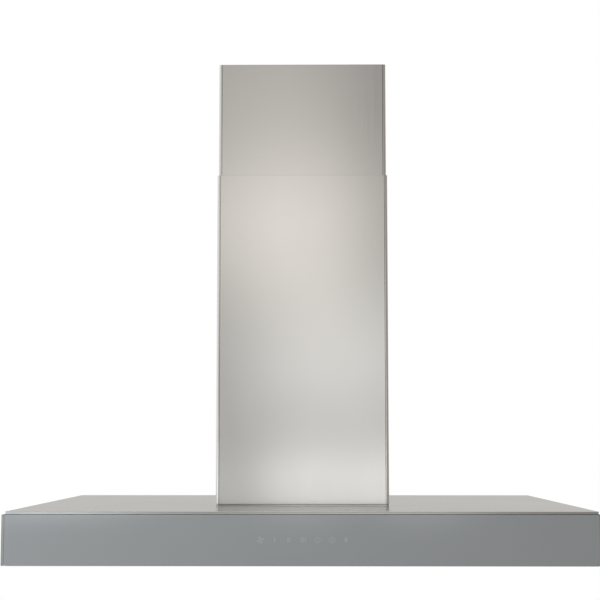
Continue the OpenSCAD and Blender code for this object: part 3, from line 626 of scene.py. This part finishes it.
def floor(radius, drop):
    """A plain pale floor, drop below the hood, which fades into the background at its rim."""
    made, tree, shader = new_material("floor", (0.8, 0.8, 0.8), 0.7)
    tree.links.new(remap(tree, noise(tree, (8, 8, 8), 3), 0.65, 0.75), shader.inputs["Roughness"])
    reach = tree.nodes.new("ShaderNodeVectorMath")
    reach.operation = "LENGTH"
    tree.links.new(place(tree, (1, 1, 1)), reach.inputs[0])
    clear = tree.nodes.new("ShaderNodeBsdfTransparent")
    fade = tree.nodes.new("ShaderNodeMixShader")
    edges = (radius * FLOOR_FADE, radius)
    tree.links.new(remap(tree, reach.outputs["Value"], 0, 1, edges), fade.inputs["Fac"])
    tree.links.new(shader.outputs["BSDF"], fade.inputs[1])
    tree.links.new(clear.outputs["BSDF"], fade.inputs[2])
    tree.links.new(fade.outputs["Shader"], tree.nodes["Material Output"].inputs["Surface"])
    shaped = bmesh.new()
    bmesh.ops.create_circle(shaped, cap_ends=True, segments=96, radius=radius)
    disc = add_shape("floor", shaped, made)
    disc.location = (0, 0, glass_low.z - drop)


floor(FLOOR_R, FLOOR_DROP)


# ---- Light ----

# Light from each side of the studio: axis, the side that it comes from, and colour
STUDIO = [
    ("Y", 1, (0.5, 0.5, 0.5)),
    ("X", -1, (0.68, 0.7, 0.71)),
    ("X", 1, (0.06, 0.05, 0.04)),
    ("Z", 1, (0.1, 0.1, 0.1)),
    ("Z", -1, (0.2, 0.2, 0.2))]
STUDIO_BASE = (0.306, 0.30, 0.291)
BACKDROP = (0.735, 0.72, 0.695)
WHITE = (1, 1, 1)


def towards(tree, value, sign):
    """0 where value has the other sign, rising smoothly to 1 where it is sign."""
    made = tree.nodes.new("ShaderNodeMapRange")
    made.interpolation_type = "SMOOTHSTEP"
    made.inputs["From Max"].default_value = sign
    tree.links.new(value, made.inputs["Value"])
    return made.outputs["Result"]


def lay(tree, value, colour, under):
    """Value times colour, added to what lies under it: a link or a plain colour."""
    made = tree.nodes.new("ShaderNodeVectorMath")
    made.operation = "MULTIPLY_ADD"
    tree.links.new(value, made.inputs[0])
    made.inputs[1].default_value = colour
    if isinstance(under, tuple):
        made.inputs[2].default_value = under
    else:
        tree.links.new(under, made.inputs[2])
    return made.outputs["Vector"]


def world_light():
    """A studio with a pale backdrop behind the hood for metal and glass, and white for the camera."""
    world = bpy.data.worlds.new("studio")
    bpy.context.scene.world = world
    world.use_nodes = True
    tree = world.node_tree
    background = tree.nodes["Background"]
    direction = tree.nodes.new("ShaderNodeTexCoord")
    split = tree.nodes.new("ShaderNodeSeparateXYZ")
    tree.links.new(direction.outputs["Generated"], split.inputs["Vector"])
    total = STUDIO_BASE
    for axis, sign, colour in STUDIO:
        total = lay(tree, towards(tree, split.outputs[axis], sign), colour, total)
    seen = tree.nodes.new("ShaderNodeLightPath")
    mirrored = tree.nodes.new("ShaderNodeMath")
    mirrored.use_clamp = True
    tree.links.new(seen.outputs["Is Glossy Ray"], mirrored.inputs[0])
    tree.links.new(seen.outputs["Is Transmission Ray"], mirrored.inputs[1])
    behind = tree.nodes.new("ShaderNodeMath")
    behind.operation = "MULTIPLY"
    tree.links.new(mirrored.outputs["Value"], behind.inputs[0])
    tree.links.new(towards(tree, split.outputs["Y"], 1), behind.inputs[1])
    result = total
    for share, colour in ((behind.outputs["Value"], BACKDROP), (seen.outputs["Is Camera Ray"], WHITE)):
        laid = tree.nodes.new("ShaderNodeMix")
        laid.data_type = "RGBA"
        laid.inputs["B"].default_value = (*colour, 1)
        tree.links.new(share, laid.inputs["Factor"])
        tree.links.new(result, laid.inputs["A"])
        result = laid.outputs["Result"]
    tree.links.new(result, background.inputs["Color"])


def softbox(name, location, aim, size, power, colour):
    """A square studio lamp, turned towards aim; metal and gloss show the studio, and not the lamp."""
    lamp = add_object(name, bpy.data.lights.new(name, "AREA"))
    lamp.data.size = size
    lamp.data.energy = power
    lamp.data.color = colour
    lamp.location = location
    lamp.rotation_euler = (Vector(aim) - Vector(location)).to_track_quat("-Z", "Y").to_euler()
    lamp.visible_glossy = False


def oval(tree, across, height, radii, strength):
    """Light that is strongest at a spot of the upright plane and falls softly to nothing at radii."""
    source = tree.nodes.new("ShaderNodeTexCoord")
    fit = tree.nodes.new("ShaderNodeMapping")
    fit.inputs["Scale"].default_value = (1 / radii[0], 0, 1 / radii[1])
    fit.inputs["Location"].default_value = (-across / radii[0], 0, -height / radii[1])
    tree.links.new(source.outputs["Object"], fit.inputs["Vector"])
    falloff = tree.nodes.new("ShaderNodeTexGradient")
    falloff.gradient_type = "SPHERICAL"
    tree.links.new(fit.outputs["Vector"], falloff.inputs["Vector"])
    smooth = tree.nodes.new("ShaderNodeMapRange")
    smooth.interpolation_type = "SMOOTHSTEP"
    smooth.inputs["To Max"].default_value = strength
    tree.links.new(falloff.outputs["Fac"], smooth.inputs["Value"])
    return smooth.outputs["Result"]


def glow_wall(y, ovals):
    """Ovals of light in one upright plane before the hood, which hides nothing and casts no shadow."""
    low = [min(o[k] - o[2][k] for o in ovals) for k in (0, 1)]
    high = [max(o[k] + o[2][k] for o in ovals) for k in (0, 1)]
    mesh = bpy.data.meshes.new("glow_wall")
    corners = [(low[0], 0, low[1]), (high[0], 0, low[1]), (high[0], 0, high[1]), (low[0], 0, high[1])]
    mesh.from_pydata(corners, [], [(0, 1, 2, 3)])
    wall = add_object("glow_wall", mesh)
    wall.location = (0, y, 0)
    wall.visible_camera = False
    wall.visible_shadow = False
    made = bpy.data.materials.new("glow_wall")
    made.use_nodes = True
    tree = made.node_tree
    tree.nodes.remove(tree.nodes["Principled BSDF"])
    total = (0, 0, 0)
    for across, height, radii, strength, colour in ovals:
        total = lay(tree, oval(tree, across, height, radii, strength), colour, total)
    shine = tree.nodes.new("ShaderNodeEmission")
    tree.links.new(total, shine.inputs["Color"])
    clear = tree.nodes.new("ShaderNodeBsdfTransparent")
    both = tree.nodes.new("ShaderNodeAddShader")
    tree.links.new(shine.outputs["Emission"], both.inputs[0])
    tree.links.new(clear.outputs["BSDF"], both.inputs[1])
    tree.links.new(both.outputs["Shader"], tree.nodes["Material Output"].inputs["Surface"])
    mesh.materials.append(made)


world_light()
softbox(
    "key", location=(-1.8, -1.15, -0.2), aim=(-0.4, -0.34, -0.8), size=1.2, power=29,
    colour=(0.94, 1.0, 1.05))

# Ovals of light before the flue, its foot, the glass and the left edge: across, height, radii,
# strength, colour
FLUE_OVAL = (0.26, 0.34)
FOOT_OVAL = (0.20, 0.12)
GLASS_OVAL = (0.36, 0.10)
EDGE_OVAL = (0.28, 0.08)
SIDE_OVAL = (0.55, 0.90)
WARM = (1.03, 1.0, 0.955)
PLAIN = (0.995, 1.0, 1.005)
COOL = (0.93, 1.0, 1.06)
WALL_AHEAD = 1.0
glow_wall(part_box("lower_flue_front")[0].y - WALL_AHEAD, [
    (-0.22, 0.25, FLUE_OVAL, 0.24, WARM),
    (-0.22, -0.10, FLUE_OVAL, 0.46, WARM),
    (-0.22, -0.45, FLUE_OVAL, 0.11, PLAIN),
    (0, 0.25, FLUE_OVAL, 0.35, WARM),
    (0, -0.10, FLUE_OVAL, 0.835, WARM),
    (0, -0.45, FLUE_OVAL, 0.69, PLAIN),
    (0.22, -0.10, FLUE_OVAL, 0.09, WARM),
    (0.22, -0.45, FLUE_OVAL, 0.56, PLAIN),
    (0, -0.745, FOOT_OVAL, 1.6, PLAIN),
    (0.25, -0.745, FOOT_OVAL, 1.8, PLAIN),
    (-0.60, -0.75, GLASS_OVAL, 3.2, COOL),
    (-0.42, -0.76, EDGE_OVAL, 1.1, COOL),
    (-1.25, -0.30, SIDE_OVAL, 0.3, COOL)])
bpy.context.scene.view_settings.view_transform = "Standard"
